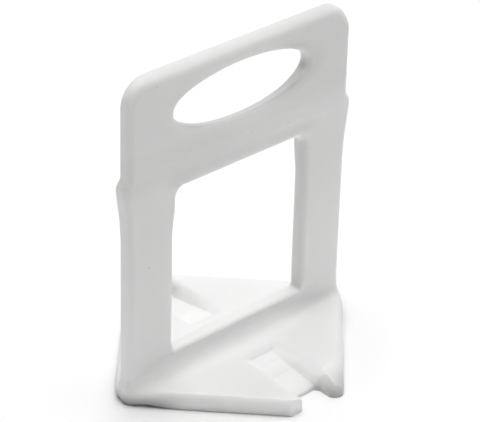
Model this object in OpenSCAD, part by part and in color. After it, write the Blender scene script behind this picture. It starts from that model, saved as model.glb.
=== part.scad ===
/* [Overall] */
// Height from the underside of the base to the top of the head
clip_h = 45.3; // [44.8:0.1:50]

/* [Base] */
// Thickness of the base plate
base_t = 2.3; // [2.2:0.1:2.8]
// Distance from the centre to the slanted sides, at their widest
base_side = 14.7; // [14.5:0.1:15.5]
// Direction of the slanted sides' normals, measured from the long axis, in degrees
base_angle = 43.5; // [42:0.5:45]
// Radius of the rounded tips under the legs, seen from above
tip_r = 3.6; // [2.8:0.1:4]
// Depth of the base between its cut-off front and back ends, at their widest
base_d = 32.9; // [31.6:0.1:34]
// How far the top edge of the base lies inside its widest line
top_inset = 0.7; // [0.4:0.1:0.9]
// How far the bottom edge lies inside the widest line
bottom_inset = 0.6; // [0.4:0.1:0.8]

/* [Pockets and tongues] */
// Width of the pocket in each half of the base
pocket_w = 5.2; // [4:0.1:5.6]
// Distance from the middle plane to the pocket's inner wall
pocket_start = 5.1; // [4.6:0.1:6]
// Depth of the pocket at its inner wall
pocket_depth = 0.6; // [0.4:0.1:0.9]
// Distance from the middle plane to the free end of the thin tongue
tongue_end = 14; // [12.5:0.1:14.5]
// Thickness of the tongue at its free end
tongue_t = 0.6; // [0.5:0.05:0.8]
// Height of the two small steps across the tongue
tongue_step = 0.1; // [0.05:0.01:0.12]

/* [Legs and head] */
// Width of the head
head_w = 36.6; // [36:0.1:37.2]
// Thickness of the head above the shoulder
head_t = 2.1; // [1.9:0.1:2.2]
// Thickness of the legs below the shoulder
leg_t = 2.3; // [2.3:0.1:2.6]
// Radius of the head's upper corners
head_corner_r = 3.7; // [2.5:0.1:5]
// Rounding of the outer edges of head and legs at the front
edge_r = 1; // [0.6:0.05:1.1]
// Rounding of the outer edges at the back
back_edge_r = 0.3; // [0.2:0.05:0.6]
// Rounding of the rims of the window and the hand hole
rim_r = 0.9; // [0.3:0.05:0.9]
// Width over the two legs
legs_w = 36.4; // [35.8:0.1:36.6]
// Width over the shoulder, where the legs are widest
shoulder_w = 37.9; // [37.2:0.1:38.2]
// Height of the shoulder above the underside
shoulder_z = 31.3; // [30.8:0.1:32.3]
// Radius of the hollow blend between the legs and the base
foot_r = 1.5; // [0.8:0.1:1.8]

/* [Wedge window] */
// Width of the window between the legs, at its narrowest
window_w = 22; // [20.4:0.1:22.8]
// Width of the window just under its top corners
window_top_w = 21; // [20:0.1:21.8]
// Height of the window's top above the underside
window_top = 28.6; // [27.8:0.1:29]
// Height of the sill above the base
sill_h = 2.9; // [2.5:0.1:3.4]
// Radius of the window's lower corners
sill_r = 0.6; // [0.6:0.1:1.6]
// Radius of the window's upper corners
window_r = 1.1; // [0.6:0.1:1.8]
// Depth of the break line at the foot of each leg
break_groove = 0.12; // [0.08:0.02:0.2]

/* [Hand hole] */
// Width of the oval hole in the head, at its narrowest
hole_w = 22; // [18:0.1:23]
// Height of the oval hole
hole_h = 7.4; // [5.5:0.1:7.6]
// Height of the hole's centre above the underside
hole_z = 39.1; // [38.2:0.1:39.2]

/* [Hidden] */
ca = cos(base_angle);
sa = sin(base_angle);
ye = base_d / 2;
sill_z = base_t + sill_h;
round_n = 4;

// points of an arc about c, from angle a0 to a1, in n steps
function arc(c, r, a0, a1, n) =
    [for (i = [0 : n]) let (a = a0 + (a1 - a0) * i / n) [c[0] + r * cos(a), c[1] + r * sin(a)]];

// each corner moved so that every side of a counter-clockwise outline shifts outward by d
function unit(v) = v / norm(v);
function normal(a, b) = let (u = unit(b - a)) [u[1], -u[0]];
function grown(p, d) = let (n = len(p))
    [for (i = [0 : n - 1])
        let (m = normal(p[(i + n - 1) % n], p[i]), k = normal(p[i], p[(i + 1) % n]))
        p[i] + d * (m + k) / (1 + m * k)];

// the right half's points, bottom to top, and their mirror image make a closed outline
function mirrored(half) = let (n = len(half))
    concat(half, [for (i = [n - 1 : -1 : 0]) [-half[i][0], half[i][1]]]);

// solid through a stack of rings with equal point counts, each end closed by a fan about its middle
module loft(rings, c0, c1) {
    n = len(rings[0]);
    m = len(rings);
    pts = concat([for (r = rings) each r], [c0, c1]);
    polyhedron(pts, concat(
        [for (k = [0 : m - 2], i = [0 : n - 1]) let (j = (i + 1) % n)
            [k * n + i, (k + 1) * n + i, (k + 1) * n + j]],
        [for (k = [0 : m - 2], i = [0 : n - 1]) let (j = (i + 1) % n)
            [k * n + i, (k + 1) * n + j, k * n + j]],
        [for (i = [0 : n - 1]) [m * n, i, (i + 1) % n]],
        [for (i = [0 : n - 1]) let (o = (m - 1) * n) [m * n + 1, o + (i + 1) % n, o + i]]));
}

// ring of an upright outline at distance y in front of the middle plane
function upright_ring(p, y) = [for (q = p) [q[0], -y, q[1]]];

// plate of thickness t standing on its outline, edges rounded by r at the front and by b at the back
module plate(p, t, r, b, mid) {
    levels = concat(
        [for (i = [round_n : -1 : 0]) [-t / 2 + b * (1 - sin(90 * i / round_n)), -b * (1 - cos(90 * i / round_n))]],
        [for (i = [0 : round_n]) [t / 2 - r * (1 - sin(90 * i / round_n)), -r * (1 - cos(90 * i / round_n))]]);
    loft([for (l = levels) upright_ring(grown(p, l[1]), l[0])],
        [mid[0], t / 2, mid[1]], [mid[0], -t / 2, mid[1]]);
}

// opening through a plate of thickness t, flared at both faces so that its rim is rounded by r
module opening(p, t, r, mid) {
    over = 0.02;
    levels = concat(
        [[-t / 2 - 1, r + over]],
        [for (i = [round_n : -1 : 0]) [-(t / 2 + over) + r * (1 - sin(90 * i / round_n)), (r + over) * (1 - cos(90 * i / round_n))]],
        [for (i = [0 : round_n]) [(t / 2 + over) - r * (1 - sin(90 * i / round_n)), (r + over) * (1 - cos(90 * i / round_n))]],
        [[t / 2 + 1, r + over]]);
    loft([for (l = levels) upright_ring(grown(p, l[1]), l[0])],
        [mid[0], t / 2 + 1, mid[1]], [mid[0], -t / 2 - 1, mid[1]]);
}

// outline of the base from above: slanted sides at distance c, rounded tips of radius r, ends cut off at distance e
function base_half(c, r, e) = let (xe = (c - e * sa) / ca, xc = (c - r) / ca)
    concat([[xe, -e]], arc([xc, 0], r, -base_angle, base_angle, 12), [[xe, e]]);
function base_outline(c, r, e) = mirrored(base_half(c, r, e));

// side of the base: inset from its widest line at each height
side_levels = [[0, bottom_inset], [0.12, bottom_inset * 0.55], [0.3, bottom_inset * 0.22], [0.55, bottom_inset * 0.05],
    [0.9, 0], [1.35, top_inset * 0.1], [1.8, top_inset * 0.32], [2.2, top_inset * 0.65], [2.5, top_inset]];

module base_plate() {
    loft([for (l = side_levels) [for (q = base_outline(base_side - l[1], tip_r - l[1], ye - 0.4 * l[1])) [q[0], q[1], l[0] * base_t / 2.5]]],
        [0, 0, 0], [0, 0, base_t]);
}

// pocket with the stepped ramp of the tongue, open at the end of the base
module pocket() {
    z0 = base_t - pocket_depth;
    s = (tongue_end - pocket_start - 0.3) / 8.3;
    fall = (z0 - tongue_t - 2 * tongue_step) / (tongue_end - pocket_start - 0.3);
    y1 = pocket_start + 0.3;
    y2 = y1 + 1.8 * s;
    y3 = y2 + 2.4 * s;
    z2 = z0 - fall * (y2 - y1);
    z3 = z2 - tongue_step - fall * (y3 - y2);
    z4 = z3 - tongue_step - fall * (tongue_end - y3);
    rotate([90, 0, 90])
        linear_extrude(pocket_w, center = true)
            polygon([[pocket_start - 0.15, base_t + 0.5], [y1, z0], [y2, z2], [y2 + 0.05, z2 - tongue_step],
                [y3, z3], [y3 + 0.05, z3 - tongue_step], [tongue_end, z4],
                [tongue_end, -1], [ye + 2, -1], [ye + 2, base_t + 0.5]]);
}

// hollow blend along both faces of the legs and the sill, kept within the base's top face
module foot_blend() {
    w = leg_t / 2 - 0.03;
    z = base_t - 0.02;
    n = 6;
    intersection() {
        rotate([90, 0, 90])
            linear_extrude(legs_w + 4, center = true)
                polygon(concat(
                    [[-(w + foot_r), base_t - 0.6]],
                    [for (i = [0 : n]) let (a = 90 * i / n) [-(w + foot_r) + foot_r * sin(a), z + foot_r * (1 - cos(a))]],
                    [for (i = [n : -1 : 0]) let (a = 90 * i / n) [w + foot_r - foot_r * sin(a), z + foot_r * (1 - cos(a))]],
                    [[w + foot_r, base_t - 0.6]]));
        linear_extrude(base_t + foot_r + 1)
            polygon(base_outline(base_side - top_inset - 0.1, tip_r - top_inset - 0.1, ye - 0.4 * top_inset));
    }
}

// right-hand edge of the lower plate: foot, leg, flare to the shoulder, and its sloping top
legs_outline = mirrored([
    [legs_w / 2 + 0.35, 1], [legs_w / 2 + 0.3, base_t + 0.2], [legs_w / 2 + 0.1, base_t + 1],
    [legs_w / 2, base_t + 2.2], [legs_w / 2, shoulder_z - 8], [legs_w / 2 + (shoulder_w - legs_w) * 0.21, shoulder_z - 5.2],
    [shoulder_w / 2 - 0.1, shoulder_z - 1.6], [shoulder_w / 2, shoulder_z - 0.6], [shoulder_w / 2 - 0.06, shoulder_z],
    [head_w / 2 + 0.12, shoulder_z + 0.9], [head_w / 2 - 1, shoulder_z + 1.4]]);

head_outline = mirrored(concat(
    [[head_w / 2, shoulder_z - 4]],
    arc([head_w / 2 - head_corner_r, clip_h - head_corner_r], head_corner_r, 0, 90, 10)));

window_outline = mirrored(concat(
    arc([window_w / 2 - sill_r + 0.1, sill_z + sill_r], sill_r, -90, 0, 6),
    [[window_w / 2, sill_z + 4], [window_w / 2, window_top - 6], [window_top_w / 2 + 0.1, window_top - 2.6]],
    arc([window_top_w / 2 - window_r, window_top - window_r], window_r, 0, 90, 6)));

hole_outline = [for (i = [0 : 63]) let (a = 360 * (i + 0.5) / 64) [hole_w / 2 * cos(a), hole_z + hole_h / 2 * sin(a)]];

// fine groove across the front and back of each leg, just under the level of the sill
module break_line() {
    for (s = [-1, 1], f = [-1, 1])
        translate([s * (window_w / 2 + (legs_w - window_w) / 4 + 0.4), f * leg_t / 2, sill_z - 0.5])
            rotate([90, 0, 90])
                linear_extrude((legs_w - window_w) / 2 + 3, center = true)
                    polygon([[f * 0.1, -0.17 - break_groove], [f * 0.1, 0.17 + break_groove], [-f * break_groove, 0]]);
}

// the whole clip: moulded in one piece
module clip() {
    color([0.93, 0.93, 0.92])
        difference() {
            union() {
                base_plate();
                foot_blend();
                plate(legs_outline, leg_t, edge_r, back_edge_r, [0, 15]);
                plate(head_outline, head_t, edge_r, back_edge_r, [0, clip_h - 9]);
            }
            opening(window_outline, leg_t, rim_r, [0, 16]);
            opening(hole_outline, head_t, rim_r, [0, hole_z]);
            pocket();
            mirror([0, 1, 0]) pocket();
            break_line();
        }
}

clip();
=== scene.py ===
import itertools
import math

import bpy
import numpy as np
from mathutils import Matrix, Vector


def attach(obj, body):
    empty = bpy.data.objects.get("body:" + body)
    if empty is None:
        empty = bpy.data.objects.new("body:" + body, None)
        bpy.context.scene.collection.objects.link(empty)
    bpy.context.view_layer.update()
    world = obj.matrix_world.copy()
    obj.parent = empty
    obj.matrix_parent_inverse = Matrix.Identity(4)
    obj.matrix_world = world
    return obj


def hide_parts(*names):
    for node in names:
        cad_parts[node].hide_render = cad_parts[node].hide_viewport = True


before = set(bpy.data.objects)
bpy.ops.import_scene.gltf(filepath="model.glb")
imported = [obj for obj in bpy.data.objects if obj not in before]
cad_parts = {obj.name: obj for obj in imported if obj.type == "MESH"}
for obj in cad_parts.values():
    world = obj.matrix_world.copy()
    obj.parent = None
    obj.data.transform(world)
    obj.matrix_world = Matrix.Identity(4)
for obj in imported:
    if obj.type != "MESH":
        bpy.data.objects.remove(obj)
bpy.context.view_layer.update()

scene = bpy.context.scene

# ---------------------------------------------------------------- the clip's shape, in mm, in the row frame
HEIGHT = 45.3        # underside to top of head
BASE_T = 2.3         # base plate
SIDE = 14.7          # centre to the slanted sides, at their widest
ANGLE = math.radians(43.5)
CA, SA = math.cos(ANGLE), math.sin(ANGLE)
TIP_R = 3.6
END_Y = 16.35        # centre to the cut-off ends
SILL_Z = BASE_T + 2.92
WINDOW_TOP = 28.62
HOLE = (11.05, 3.75, 39.17)
EDGE_R, BACK_R, RIM_R = 0.9, 0.4, 0.95
WALL_R, WALL_Z = 1.75, 0.87   # bulge of the base's sides
PLASTIC = 0.87       # reflectance


def rmin(a, b, r):
    """Union with a hollow blend of radius r."""
    u, v = np.maximum(r - a, 0), np.maximum(r - b, 0)
    return np.maximum(r, np.minimum(a, b)) - np.sqrt(u * u + v * v)


def rmax(a, b, r):
    """Intersection with an edge rounded by r."""
    u, v = np.maximum(r + a, 0), np.maximum(r + b, 0)
    return np.minimum(-r, np.maximum(a, b)) + np.sqrt(u * u + v * v)


def ease(t):
    t = np.clip(t, 0, 1)
    return t * t * (3 - 2 * t)


def profile(points, soft):
    """A curve through (position, value) points, softened over a length, as a function."""
    p = np.array(points, float)
    s = np.arange(p[0, 0] - 4, p[-1, 0] + 4, 0.02)
    v = np.interp(s, p[:, 0], p[:, 1])
    if soft:
        k = np.exp(-0.5 * (np.arange(-150, 151) * 0.02 / soft) ** 2)
        v = np.convolve(np.pad(v, 150, mode="edge"), k / k.sum(), mode="valid")
    return lambda q: np.interp(q, s, v)


half_width = profile([(0, 18.5), (2.5, 18.48), (3.3, 18.3), (4.5, 18.2), (23.3, 18.2), (26.1, 18.36), (29.7, 18.85),
                      (30.7, 18.95), (31.25, 18.9), (32.15, 18.38), (32.5, 18.3), (46, 18.3)], 0.16)
half_thick = profile([(0, 1.15), (31.45, 1.15), (32.05, 1.05), (46, 1.05)], 0.22)
window_half = profile([(0, 11.2), (SILL_Z + 4, 11.03), (22.8, 11.03), (26.2, 10.63), (30, 10.53)], 0.5)
floor_z = profile([(5.0, 1.88), (7.2, 1.65), (7.3, 1.57), (9.6, 1.28), (9.7, 1.2), (14, 0.6)], 0.05)
foot_blend = profile([(-18, 1.7), (-15, 2.4), (6, 2.4), (12, 1.1), (18, 1.0)], 1.0)


def upright(x, y, z):
    ax = np.abs(x)
    out = rmax(np.abs(x - 0.1) - half_width(z) - 0.08, z - HEIGHT, 3.7)
    win = rmax(ax - window_half(z), z - WINDOW_TOP, 1.1)
    win = rmax(win, SILL_Z - z, 0.3)
    a, b, zc = HOLE
    k = np.sqrt((x / a) ** 2 + ((z - zc) / b) ** 2)
    g = np.sqrt((x / a**2) ** 2 + ((z - zc) / b**2) ** 2)
    hole = -k * (k - 1) / np.maximum(g, 1e-6)
    rims = np.maximum(-win, hole)
    sides = np.maximum(out, rims)
    # break line across the foot of each leg
    line = 0.06 * np.exp(-(((z - 4.72) / 0.13) ** 2)) * ease((15.0 - ax) / 2.0) * ease((ax - 11.0) / 0.4)
    thick = half_thick(z) - line
    sill = ease((SILL_Z + 1.4 - z) / 1.2)
    # the hole's front rim is crisp in the middle and round at the ends, its back rim is well rounded
    ends = np.minimum(ax / a, 1.0) ** 3
    front = np.where(out > rims, EDGE_R + 0.4 * ease((z - 41.5) / 2.0), np.where(hole > -win, 0.35 + 0.55 * ends, RIM_R - 0.5 * sill))
    back = np.where(out > rims, BACK_R, np.where(hole > -win, 1.6 - 0.65 * ends, RIM_R))
    return np.maximum(rmax(sides, -y - thick, front), rmax(sides, y - thick, back))


def bulged(a, z):
    """Distance to a side whose plan distance is a and whose profile is an arc."""
    t = np.clip((z - WALL_Z) / WALL_R, -0.6, 0.86)
    c = np.sqrt(1 - t * t)
    inset = WALL_R * (1 - c) + (z - WALL_Z - t * WALL_R) * t / c
    return (a + inset) * c


def base(x, y, z):
    ax, ay = np.abs(x), np.abs(y)
    tip = ease((ax - 14.4) / 4.2)
    # the prong that lies to the right of a notch rolls over at its free end
    side = x * np.sign(-y)
    prong = ease((side - 1.3) / 1.2) * ease((ay - 9.0) / 5.2)
    a = rmax(ax * CA + y * SA - SIDE, ax * CA - y * SA - SIDE, TIP_R)
    d = rmax(bulged(a, z), ay - END_Y - 0.95 * prong, 0.12 + 0.35 * prong)
    d = rmax(d, z - BASE_T, 0.08 + 0.9 * tip + 2.2 * prong)
    # shallow pocket: its floor falls to the tongue's free end, its walls ease out at the top
    wall = np.clip((ax - 1.8) / np.where(side > 0, 2.3, 1.9), 0, 1)
    rear = np.clip((5.65 - ay) / 1.05, 0, 1)
    deep = (BASE_T - floor_z(ay)) * (1 - wall) ** 2 * (1 - rear) ** 2
    d = np.maximum(d, (z - BASE_T + deep) * 0.93)
    notch = rmax(np.maximum(side - 1.6 - 0.3 * z, -side - 2.65), 13.92 - ay, 0.25)
    roll = ease((side - 0.2) / 0.8) * ease((ay - 13.5) / 1.3)
    d = rmax(d, -notch, 0.12 + 1.85 * roll)
    return rmax(d, -z, 0.15 + 1.5 * tip + 0.2 * prong)


def clip_field(p):
    x, y, z = p[..., 0], p[..., 1], p[..., 2]
    blend = np.where(y < 0, foot_blend(x), 1.2)
    return np.maximum(rmin(base(x, y, z), upright(x, y, z), blend), -z)


def gradient(p, e=0.025):
    g = np.empty_like(p)
    for k in range(3):
        d = np.zeros(3)
        d[k] = e
        g[:, k] = (clip_field(p + d) - clip_field(p - d)) / (2 * e)
    return g


def settle(p, steps):
    """Moves points onto the surface."""
    for _ in range(steps):
        f = clip_field(p)
        g = gradient(p)
        p = p - np.clip(f / np.maximum((g * g).sum(1), 0.2), -0.2, 0.2)[:, None] * g
    return p


def skin(h):
    """Quads over the surface of the field, one corner in each grid cell that it crosses."""
    lo = np.array([-19.7, -17.3, -0.6]) + h * np.array([0.37, 0.41, 0.29])
    n = np.ceil((np.array([19.8, 17.4, 46.0]) - lo) / h).astype(int) + 1
    ax = [lo[k] + h * np.arange(n[k]) for k in range(3)]
    f = np.ones(n, np.float32)
    inner = np.flatnonzero(np.abs(ax[1]) < 2.6)
    for k0 in range(0, n[2], 12):
        k1 = min(k0 + 12, n[2])
        j = slice(None) if ax[2][k0] < 7 else slice(inner[0], inner[-1] + 1)
        p = np.stack(np.meshgrid(ax[0], ax[1][j], ax[2][k0:k1], indexing="ij"), -1)
        f[:, j, k0:k1] = clip_field(p)
    s = f < 0
    count = np.zeros(n - 1, np.int8)
    corners = list(itertools.product((0, 1), repeat=3))
    for a, b, c in corners:
        count += s[a : n[0] - 1 + a, b : n[1] - 1 + b, c : n[2] - 1 + c]
    live = (count > 0) & (count < 8)
    cell = np.full(live.shape, -1, np.int32)
    ijk = np.argwhere(live)
    cell[live] = np.arange(len(ijk))
    total, hits = np.zeros((len(ijk), 3)), np.zeros(len(ijk))
    for a in corners:
        for k in range(3):
            if a[k]:
                continue
            b = list(a)
            b[k] = 1
            fa = f[tuple((ijk + a).T)]
            fb = f[tuple((ijk + b).T)]
            m = (fa < 0) != (fb < 0)
            t = fa[m] / (fa[m] - fb[m])
            total[m] += np.array(a, float)
            total[m, k] += t
            hits[m] += 1
    verts = lo + h * (ijk + total / hits[:, None])
    quads = []
    for k in range(3):
        p, q = (k + 1) % 3, (k + 2) % 3
        first = s.take(range(n[k] - 1), k)
        second = s.take(range(1, n[k]), k)
        e = np.argwhere(first != second)
        step = np.eye(3, dtype=int)
        loop = [e - step[p] - step[q], e - step[q], e, e - step[p]]
        four = np.stack([cell[tuple(c.T)] for c in loop], 1)
        out = first[tuple(e.T)]
        quads.append(np.where(out[:, None], four, four[:, ::-1]))
    return verts, np.concatenate(quads)


def make_mesh(name, verts, faces):
    me = bpy.data.meshes.new(name)
    me.vertices.add(len(verts))
    me.vertices.foreach_set("co", np.asarray(verts, np.float32).ravel())
    k = faces.shape[1]
    me.loops.add(faces.size)
    me.loops.foreach_set("vertex_index", faces.astype(np.int32).ravel())
    me.polygons.add(len(faces))
    me.polygons.foreach_set("loop_start", np.arange(0, faces.size, k, dtype=np.int32))
    me.update(calc_edges=True)
    me.validate()
    return me


def build_clip():
    h = 0.165
    verts, quads = skin(h)
    verts = settle(verts, 3)
    me = make_mesh("clip_rough", verts, quads)
    ob = bpy.data.objects.new("clip_rough", me)
    scene.collection.objects.link(ob)
    tri = ob.modifiers.new("tri", "TRIANGULATE")
    tri.quad_method = "SHORTEST_DIAGONAL"
    keep = min(1.0, 188000 / (2 * len(quads)))
    if keep < 1:
        dec = ob.modifiers.new("thin", "DECIMATE")
        dec.ratio = keep
    final = bpy.data.meshes.new_from_object(ob.evaluated_get(bpy.context.evaluated_depsgraph_get()))
    bpy.data.objects.remove(ob)
    co = np.empty(len(final.vertices) * 3, np.float32)
    final.vertices.foreach_get("co", co)
    co = settle(co.reshape(-1, 3).astype(float), 2)
    nor = gradient(co, 0.03)
    nor /= np.linalg.norm(nor, axis=1)[:, None]
    final.vertices.foreach_set("co", (co / 1000).astype(np.float32).ravel())
    final.polygons.foreach_set("use_smooth", np.ones(len(final.polygons), bool))
    final.update()
    final.normals_split_custom_set_from_vertices([tuple(v) for v in nor])
    final.name = "clip_body"
    body = bpy.data.objects.new("clip_body", final)
    scene.collection.objects.link(body)
    return body


# ---------------------------------------------------------------- materials
def node(tree, kind, at=(0, 0), **props):
    n = tree.nodes.new(kind)
    n.location = at
    for k, v in props.items():
        setattr(n, k, v)
    return n


class Graph:
    """Short forms for the node types that the plastic uses."""

    def __init__(self, tree):
        self.t = tree

    def put(self, socket, value):
        if isinstance(value, bpy.types.NodeSocket):
            self.t.links.new(value, socket)
        else:
            socket.default_value = value

    def math(self, op, *args, clamp=False):
        n = node(self.t, "ShaderNodeMath", operation=op, use_clamp=clamp)
        for k, v in enumerate(args):
            self.put(n.inputs[k], v)
        return n.outputs[0]

    def vec(self, op, *args):
        n = node(self.t, "ShaderNodeVectorMath", operation=op)
        for k, v in enumerate(args):
            self.put(n.inputs[k], v)
        return n.outputs["Value"] if op in ("DISTANCE", "DOT_PRODUCT", "LENGTH") else n.outputs["Vector"]

    def scaled(self, v, k):
        n = node(self.t, "ShaderNodeVectorMath", operation="SCALE")
        self.put(n.inputs["Vector"], v)
        self.put(n.inputs["Scale"], k)
        return n.outputs["Vector"]

    def remap(self, value, a, b, c=0.0, d=1.0, smooth=True):
        n = node(self.t, "ShaderNodeMapRange", interpolation_type="SMOOTHSTEP" if smooth else "LINEAR")
        for k, v in zip(("Value", "From Min", "From Max", "To Min", "To Max"), (value, a, b, c, d)):
            self.put(n.inputs[k], v)
        return n.outputs["Result"]

    def noise(self, vector, scale, detail=2.0, rough=0.5):
        n = node(self.t, "ShaderNodeTexNoise")
        self.put(n.inputs["Vector"], vector)
        n.inputs["Scale"].default_value = scale
        n.inputs["Detail"].default_value = detail
        n.inputs["Roughness"].default_value = rough
        return n.outputs["Fac"]

    def stretch(self, vector, by, shift=(0, 0, 0)):
        n = node(self.t, "ShaderNodeMapping")
        self.put(n.inputs["Vector"], vector)
        n.inputs["Scale"].default_value = by
        n.inputs["Location"].default_value = shift
        return n.outputs["Vector"]

    def spot(self, pos, at, inner, outer):
        """1 at a point (mm), falling to 0 between two radii (mm)."""
        d = self.vec("DISTANCE", pos, Vector(at) / 1000)
        return self.remap(d, inner / 1000, outer / 1000, 1.0, 0.0)

    def stroke(self, pos, a, b, width):
        """1 along a line from a to b (mm), 0 beyond half its width."""
        a, b = Vector(a) / 1000, Vector(b) / 1000
        ab = b - a
        pa = self.vec("SUBTRACT", pos, a)
        f = self.math("DIVIDE", self.vec("DOT_PRODUCT", pa, ab), ab.dot(ab), clamp=True)
        d = self.vec("LENGTH", self.vec("SUBTRACT", pa, self.scaled(ab, f)))
        return self.remap(d, width / 4000, width / 2000, 1.0, 0.0)

    def most(self, values):
        out = values[0]
        for v in values[1:]:
            out = self.math("MAXIMUM", out, v)
        return out


SPECKS = [((3.62, -13.06, 2.3), 0.16), ((-17.69, -1.55, 2.33), 0.13), ((-17.31, -1.7, 2.43), 0.13),
          ((-15.27, -1.15, 19.27), 0.15), ((7.73, -1.15, 31.6), 0.13), ((1.52, -1.05, 32.37), 0.13),
          ((-14.11, -1.05, 44.0), 0.12), ((-6.0, -1.05, 36.0), 0.11)]


def plastic():
    mat = bpy.data.materials.new("milky_polypropylene")
    mat.use_nodes = True
    t = mat.node_tree
    t.nodes.clear()
    g = Graph(t)
    pos = node(t, "ShaderNodeTexCoord").outputs["Object"]
    xyz = node(t, "ShaderNodeSeparateXYZ")
    t.links.new(pos, xyz.inputs[0])
    x, y, z = xyz.outputs
    ax, ay = g.math("ABSOLUTE", x), g.math("ABSOLUTE", y)

    # cloudy tone of the moulding, flow marks drawn out along the head, fine grain
    cloud = g.noise(pos, 70, 1.5, 0.5)
    flow = g.noise(g.stretch(pos, (45, 45, 280)), 1.0, 2, 0.5)
    grain = g.noise(pos, 4200, 2, 0.6)
    head = g.math("MULTIPLY", g.remap(z, 0.0275, 0.031), g.remap(z, 0.0365, 0.034))
    flow_amount = g.math("MULTIPLY_ADD", head, 0.085, 0.014)
    tone = g.math("MULTIPLY_ADD", g.math("SUBTRACT", cloud, 0.5), 0.035, 1.0)
    tone = g.math("MULTIPLY_ADD", g.math("SUBTRACT", flow, 0.5), flow_amount, tone)
    tone = g.math("MULTIPLY_ADD", g.math("SUBTRACT", grain, 0.5), 0.05, tone)

    # painted light and shade by place, fitted to the photo's shading: paler low on the upright, on the base's
    # sides, in the pockets, on the prongs' flanks and on the rear of the base, greyer on the head, the legs' inner
    # edges and the base's top in front of the upright
    side = g.math("MULTIPLY", x, g.math("SIGN", g.math("MULTIPLY", y, -1.0)))
    plan = g.math("ADD", g.math("MULTIPLY", ax, CA), g.math("MULTIPLY", ay, SA))
    low = g.math("MULTIPLY", g.remap(z, 0.0024, 0.0036), g.remap(z, 0.028, 0.005))
    over = g.math("MULTIPLY", g.remap(y, -0.0011, -0.0007), g.remap(z, 0.0066, 0.0056))
    over = g.math("MULTIPLY", over, g.remap(ax, 0.0119, 0.0109))
    low = g.math("MULTIPLY", low, g.math("SUBTRACT", 1.0, over))
    tone = g.math("MULTIPLY_ADD", low, 0.08, tone)
    wall = g.math("MULTIPLY", g.remap(plan, 0.0128, 0.0137), g.remap(ax, 0.0150, 0.0120))
    wall = g.math("MULTIPLY", wall, g.math("GREATER_THAN", g.math("MULTIPLY", x, y), 0.0))
    rim = g.math("MULTIPLY", g.remap(z, 0.0006, 0.0013), g.remap(z, 0.0023, 0.0018))
    tone = g.math("MULTIPLY_ADD", g.math("MULTIPLY", rim, wall), 0.1, tone)
    # painted shade: darker below about 1 mm height, much less so in the notches
    notch = g.math("MULTIPLY", g.remap(ax, 0.0052, 0.0042), g.remap(ay, 0.0115, 0.0130))
    under = g.math("MULTIPLY", g.remap(z, 0.0010, 0.0002), g.math("MULTIPLY_ADD", notch, -0.85, 1.0))
    tone = g.math("MULTIPLY_ADD", under, -0.14, tone)
    pocket = g.math("MULTIPLY", g.remap(ax, 0.0042, 0.0032), g.remap(ay, 0.0042, 0.0050))
    pocket = g.math("MULTIPLY", pocket, g.remap(ay, 0.0142, 0.0120))
    pocket = g.math("MULTIPLY", pocket, g.remap(z, 0.00226, 0.0017))
    pocket = g.math("MULTIPLY", pocket, g.remap(x, -0.0029, -0.0019))
    pocket = g.math("MULTIPLY", pocket, g.remap(z, 0.0001, 0.0005))
    tone = g.math("MULTIPLY_ADD", pocket, 0.085, tone)
    slope = g.math("MULTIPLY", pocket, g.remap(x, 0.0014, 0.0021))
    tone = g.math("MULTIPLY_ADD", slope, 0.03, tone)
    flank = g.math("MULTIPLY", g.remap(side, 0.0012, 0.0018), g.remap(side, 0.0040, 0.0030))
    flank = g.math("MULTIPLY", flank, g.math("MULTIPLY", g.remap(ay, 0.0118, 0.0140), g.remap(z, 0.0006, 0.0013)))
    tone = g.math("MULTIPLY_ADD", flank, 0.07, tone)
    top = g.math("MULTIPLY", g.remap(z, 0.0021, 0.00225), g.remap(z, 0.0030, 0.0024))
    top = g.math("MULTIPLY", top, g.math("MULTIPLY", g.remap(y, -0.0025, -0.005), g.remap(ax, 0.0115, 0.006)))
    tone = g.math("MULTIPLY_ADD", top, -0.03, tone)
    upper = g.math("MULTIPLY", g.remap(z, 0.031, 0.036), g.remap(x, -0.004, 0.014, 0.35, 1.0))
    tone = g.math("MULTIPLY_ADD", upper, -0.065, tone)
    rear = g.math("MULTIPLY", g.remap(y, 0.0012, 0.004), g.remap(z, 0.0026, 0.0023))
    tone = g.math("MULTIPLY_ADD", rear, 0.025, tone)
    inner = g.math("MULTIPLY", g.remap(ax, 0.0122, 0.0109), g.remap(z, 0.0050, 0.0062))
    inner = g.math("MULTIPLY", inner, g.remap(z, 0.0285, 0.0265))
    tone = g.math("MULTIPLY_ADD", inner, -0.085, tone)

    # painted shade by place, fitted to the photo's shading: greyer on the hole's lower lip and beside its right end
    a, b, zc = (v / 1000 for v in HOLE)
    u, v = g.math("DIVIDE", x, a), g.math("DIVIDE", g.math("SUBTRACT", z, zc), b)
    ring = g.math("SQRT", g.math("ADD", g.math("MULTIPLY", u, u), g.math("MULTIPLY", v, v)))
    lip = g.math("MULTIPLY", g.remap(ring, 1.2, 1.1), g.remap(z, 0.0394, 0.0376))
    lip = g.math("MULTIPLY", lip, g.remap(y, -0.00104, -0.0009))
    lip = g.math("MULTIPLY", lip, g.remap(ax, 0.0108, 0.0085))
    ends = g.math("MULTIPLY", g.remap(ring, 1.36, 1.08), g.remap(x, 0.0035, 0.009))
    ends = g.math("MULTIPLY", ends, g.remap(y, -0.0007, -0.00104))
    tone = g.math("MULTIPLY_ADD", lip, -0.17, tone)
    tone = g.math("MULTIPLY_ADD", ends, -0.07, tone)
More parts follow.
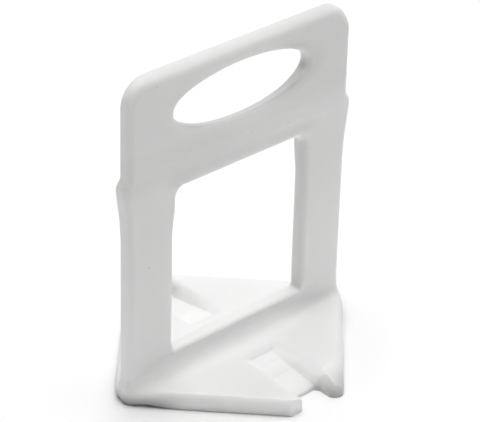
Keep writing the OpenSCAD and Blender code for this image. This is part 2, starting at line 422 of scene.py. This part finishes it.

    # painted shade by place, fitted to the photo's shading: greyer along the head's top edge and on the bar over
    # the window, a little more on its left
    edge = g.remap(z, 0.0448, 0.0453)
    bar = g.math("MULTIPLY", g.remap(z, 0.0287, 0.0297), g.remap(z, 0.0318, 0.0302))
    bar = g.math("MULTIPLY", bar, g.remap(ax, 0.0135, 0.0105))
    tone = g.math("MULTIPLY_ADD", edge, -0.12, tone)
    tone = g.math("MULTIPLY_ADD", bar, -0.07, tone)
    left = g.math("MULTIPLY", g.remap(z, 0.0295, 0.0315), g.remap(z, 0.0362, 0.0335))
    tone = g.math("MULTIPLY_ADD", g.math("MULTIPLY", left, g.remap(x, 0.003, -0.006)), -0.04, tone)

    # painted shade by place, fitted to the photo's shading: greyer on the outer half of the tongues
    thin = g.math("MULTIPLY", g.remap(ax, 0.0029, 0.0022), g.remap(ay, 0.0070, 0.0098))
    thin = g.math("MULTIPLY", thin, g.math("MULTIPLY", g.remap(z, 0.0021, 0.0018), g.remap(z, 0.0, 0.0004)))
    tone = g.math("MULTIPLY_ADD", thin, -0.09, tone)

    # a pale broken line along two of the base's upper edges, partly flash and partly a painted highlight
    crease = g.math("SUBTRACT", plan, 0.01396)
    flash_and_highlight = g.remap(g.math("ABSOLUTE", crease), 0.00003, 0.00011, 1.0, 0.0)
    flash_and_highlight = g.math("MULTIPLY", flash_and_highlight, g.remap(g.math("ABSOLUTE", g.math("SUBTRACT", z, 0.0023)), 0.00012, 0.0003, 1.0, 0.0))
    flash_and_highlight = g.math("MULTIPLY", flash_and_highlight, g.remap(g.noise(pos, 900, 2), 0.35, 0.6))
    flash_and_highlight = g.math("MULTIPLY", flash_and_highlight, g.remap(ax, 0.0168, 0.0155))
    flash_and_highlight = g.math("MULTIPLY", flash_and_highlight, g.math("GREATER_THAN", g.math("MULTIPLY", x, y), 0.0))
    tone = g.math("MULTIPLY_ADD", flash_and_highlight, 0.09, tone)

    # painted shade, fitted to the photo's shading: darker low on the rounded tips and at the ends of the prongs, in
    # patches
    nose = g.math("MULTIPLY", g.remap(ay, 0.0128, 0.0166), g.remap(z, 0.0046, 0.0002))
    flank = g.math("MULTIPLY", g.remap(ay, 0.0122, 0.0146), g.remap(z, 0.0013, 0.0001))
    low_shade = g.math("MULTIPLY", g.math("MAXIMUM", nose, flank), g.remap(side, 0.0005, 0.002))
    tips = g.math("MULTIPLY", g.remap(ax, 0.0138, 0.0166), g.remap(z, 0.0021, 0.0005))
    low_shade = g.math("MAXIMUM", g.math("MULTIPLY", low_shade, 0.95), g.math("MULTIPLY", tips, 1.2))
    low_shade = g.math("MULTIPLY", low_shade, g.remap(g.noise(pos, 330, 3), 0.2, 0.6, 0.8, 1.0))
    tone = g.math("MULTIPLY_ADD", low_shade, -0.4, tone)

    # paler and a little glossier on sharp outer edges, in patches
    point = node(t, "ShaderNodeNewGeometry").outputs["Pointiness"]
    sharp_edges = g.math("MULTIPLY", g.remap(point, 0.515, 0.56), g.remap(g.noise(pos, 420, 3), 0.42, 0.62))
    tone = g.math("MULTIPLY_ADD", sharp_edges, 0.012, tone)

    # dirt specks, a few fine scratches, one pale scuff
    cells = node(t, "ShaderNodeTexVoronoi")
    t.links.new(pos, cells.inputs["Vector"])
    cells.inputs["Scale"].default_value = 230
    pick = node(t, "ShaderNodeSeparateColor")
    t.links.new(cells.outputs["Color"], pick.inputs[0])
    stray = g.math("MULTIPLY", g.remap(cells.outputs["Distance"], 0.010, 0.024, 1.0, 0.0), g.math("GREATER_THAN", pick.outputs[0], 0.86))
    dirt = g.most([g.spot(pos, at, 0.3 * r, 0.9 * r) for at, r in SPECKS])
    dirt = g.math("MAXIMUM", dirt, g.math("MULTIPLY", stray, 0.6))
    nicks = g.most([g.stroke(pos, (-6.9, -11.4, 2.3), (-5.9, -12.3, 2.3), 0.09),
                    g.stroke(pos, (-6.6, -12.1, 2.3), (-6.1, -12.8, 2.3), 0.12),
                    g.stroke(pos, (-8.3, -10.2, 2.3), (-7.6, -10.9, 2.3), 0.07)])
    nicks = g.math("MULTIPLY", nicks, g.remap(g.noise(pos, 2600, 2), 0.4, 0.6))
    scuff = g.stroke(pos, (13.72, -1.12, 31.23), (14.5, -1.12, 29.94), 0.28)
    scuff = g.math("MULTIPLY", scuff, g.remap(g.noise(pos, 1500, 2), 0.38, 0.6))
    tone = g.math("MULTIPLY", tone, g.math("MULTIPLY_ADD", dirt, -0.4, 1.0))
    tone = g.math("MULTIPLY", tone, g.math("MULTIPLY_ADD", nicks, -0.12, 1.0))
    tone = g.math("MULTIPLY_ADD", scuff, 0.05, tone)

    tone = g.math("MINIMUM", tone, 1.115)
    colour = g.scaled((PLASTIC, PLASTIC, PLASTIC * 0.994), tone)

    rough = g.math("MULTIPLY_ADD", g.math("SUBTRACT", g.noise(pos, 260, 4, 0.6), 0.5), 0.16, 0.43)
    rough = g.math("MULTIPLY_ADD", sharp_edges, -0.06, rough)
    rough = g.math("MULTIPLY_ADD", scuff, 0.15, rough)

    wave = g.noise(pos, 150, 1.0, 0.5)
    fine = node(t, "ShaderNodeBump")
    fine.inputs["Strength"].default_value = 0.35
    fine.inputs["Distance"].default_value = 0.00001
    t.links.new(grain, fine.inputs["Height"])
    slow = node(t, "ShaderNodeBump")
    slow.inputs["Strength"].default_value = 0.3
    slow.inputs["Distance"].default_value = 0.00003
    t.links.new(g.math("MULTIPLY_ADD", nicks, -0.6, wave), slow.inputs["Height"])
    t.links.new(fine.outputs["Normal"], slow.inputs["Normal"])

    out = node(t, "ShaderNodeOutputMaterial")
    sh = node(t, "ShaderNodeBsdfPrincipled")
    t.links.new(sh.outputs["BSDF"], out.inputs["Surface"])
    t.links.new(colour, sh.inputs["Base Color"])
    t.links.new(rough, sh.inputs["Roughness"])
    t.links.new(slow.outputs["Normal"], sh.inputs["Normal"])
    sh.inputs["IOR"].default_value = 1.49
    sh.inputs["Specular IOR Level"].default_value = 0.4
    sh.inputs["Subsurface Weight"].default_value = 0.5
    sh.inputs["Subsurface Radius"].default_value = (1.0, 1.0, 0.95)
    sh.inputs["Subsurface Scale"].default_value = 0.0009
    return mat


def floor_material():
    mat = bpy.data.materials.new("pale_floor")
    mat.use_nodes = True
    sh = mat.node_tree.nodes["Principled BSDF"]
    sh.inputs["Base Color"].default_value = (0.96, 0.96, 0.96, 1)
    sh.inputs["Roughness"].default_value = 0.9
    sh.inputs["Specular IOR Level"].default_value = 0.1
    return mat


# ---------------------------------------------------------------- the piece
body = build_clip()
body.data.materials.clear()
body.data.materials.append(plastic())
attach(body, "root")
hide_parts("clip")

# ---------------------------------------------------------------- floor
s = 1.5
floor_mesh = bpy.data.meshes.new("floor")
up = 0.00003
floor_mesh.from_pydata([(-s, -s, up), (s, -s, up), (s, s, up), (-s, s, up)], [], [(0, 1, 2, 3)])
floor_mesh.update()
floor = bpy.data.objects.new("floor", floor_mesh)
floor.data.materials.append(floor_material())
scene.collection.objects.link(floor)

# ---------------------------------------------------------------- camera, at the photograph's angle
az, el, roll = math.radians(-43.1432), math.radians(30.6113), math.radians(1.5764)
dist, focal, off_x, off_y = 302.2187, 2385.4482, -0.5933, 1.4462
back = Vector((math.sin(az) * math.cos(el), -math.cos(az) * math.cos(el), math.sin(el)))
right0 = (-back).cross(Vector((0, 0, 1))).normalized()
up0 = right0.cross(-back)
right = math.cos(roll) * right0 + math.sin(roll) * up0
up = -math.sin(roll) * right0 + math.cos(roll) * up0
place = (Vector((0, 0, 25 - (4.54 - BASE_T))) + back * dist - right * off_x - up * off_y) / 1000
cam_data = bpy.data.cameras.new("camera")
cam_data.sensor_fit = "HORIZONTAL"
cam_data.sensor_width = 36
cam_data.lens = 36 * focal / 480
cam_data.clip_start = 0.01
cam_data.clip_end = 20
cam = bpy.data.objects.new("camera", cam_data)
m = Matrix.Identity(4)
for k in range(3):
    m[k][0], m[k][1], m[k][2], m[k][3] = right[k], up[k], back[k], place[k]
cam.matrix_world = m
scene.collection.objects.link(cam)
scene.camera = cam

# ---------------------------------------------------------------- soft light, brighter above and behind than from the front
world = bpy.data.worlds.new("studio")
scene.world = world
world.use_nodes = True
t = world.node_tree
t.nodes.clear()
w_out = node(t, "ShaderNodeOutputWorld")
bg = node(t, "ShaderNodeBackground")
t.links.new(bg.outputs[0], w_out.inputs[0])
bg.inputs["Color"].default_value = (1, 1, 1, 1)
heading = node(t, "ShaderNodeSeparateXYZ")
t.links.new(node(t, "ShaderNodeTexCoord").outputs["Generated"], heading.inputs[0])
below = node(t, "ShaderNodeMapRange")
t.links.new(heading.outputs[2], below.inputs["Value"])
for k, v in zip(("From Min", "From Max", "To Min", "To Max"), (-0.12, -0.04, 0.7, 0.0)):
    below.inputs[k].default_value = v
t.links.new(below.outputs["Result"], bg.inputs["Strength"])


def area(name, at, to, size, power):
    d = bpy.data.lights.new(name, "AREA")
    d.shape = "RECTANGLE"
    d.size, d.size_y = size
    d.energy = power
    o = bpy.data.objects.new(name, d)
    o.location = at
    o.rotation_euler = (Vector(to) - Vector(at)).to_track_quat("-Z", "Y").to_euler()
    scene.collection.objects.link(o)
    return o


c, r = Vector((-0.684, -0.729, 0)), Vector((0.729, -0.684, 0))


def toward(direction, elevation):
    d = direction.normalized()
    e = math.radians(elevation)
    return (d * math.cos(e) + Vector((0, 0, math.sin(e)))) * 0.8


area("overhead", (0, 0, 0.8), (0, 0, 0), (0.8, 0.8), 4.98)
area("back_top", toward(-c, 70), (0, 0, 0), (0.5, 0.5), 1.26)
area("back_low", toward(-c, 20), (0, 0, 0), (0.7, 0.4), 0.81)
area("back_right", toward(r - c, 42), (0, 0, 0), (0.7, 0.6), 0.97)
area("back_left", toward(-r - c, 42), (0, 0, 0), (0.7, 0.6), 0.56)
area("front_left", toward(c - r, 60), (0, 0, 0), (0.5, 0.5), 0.72)
area("front_top", toward(c, 65), (0, 0, 0), (0.6, 0.6), 0.2)
area("right_low", toward(r, 16), (0, 0, 0), (0.7, 0.4), 0.82)

scene.view_settings.view_transform = "Standard"
scene.view_settings.look = "None"
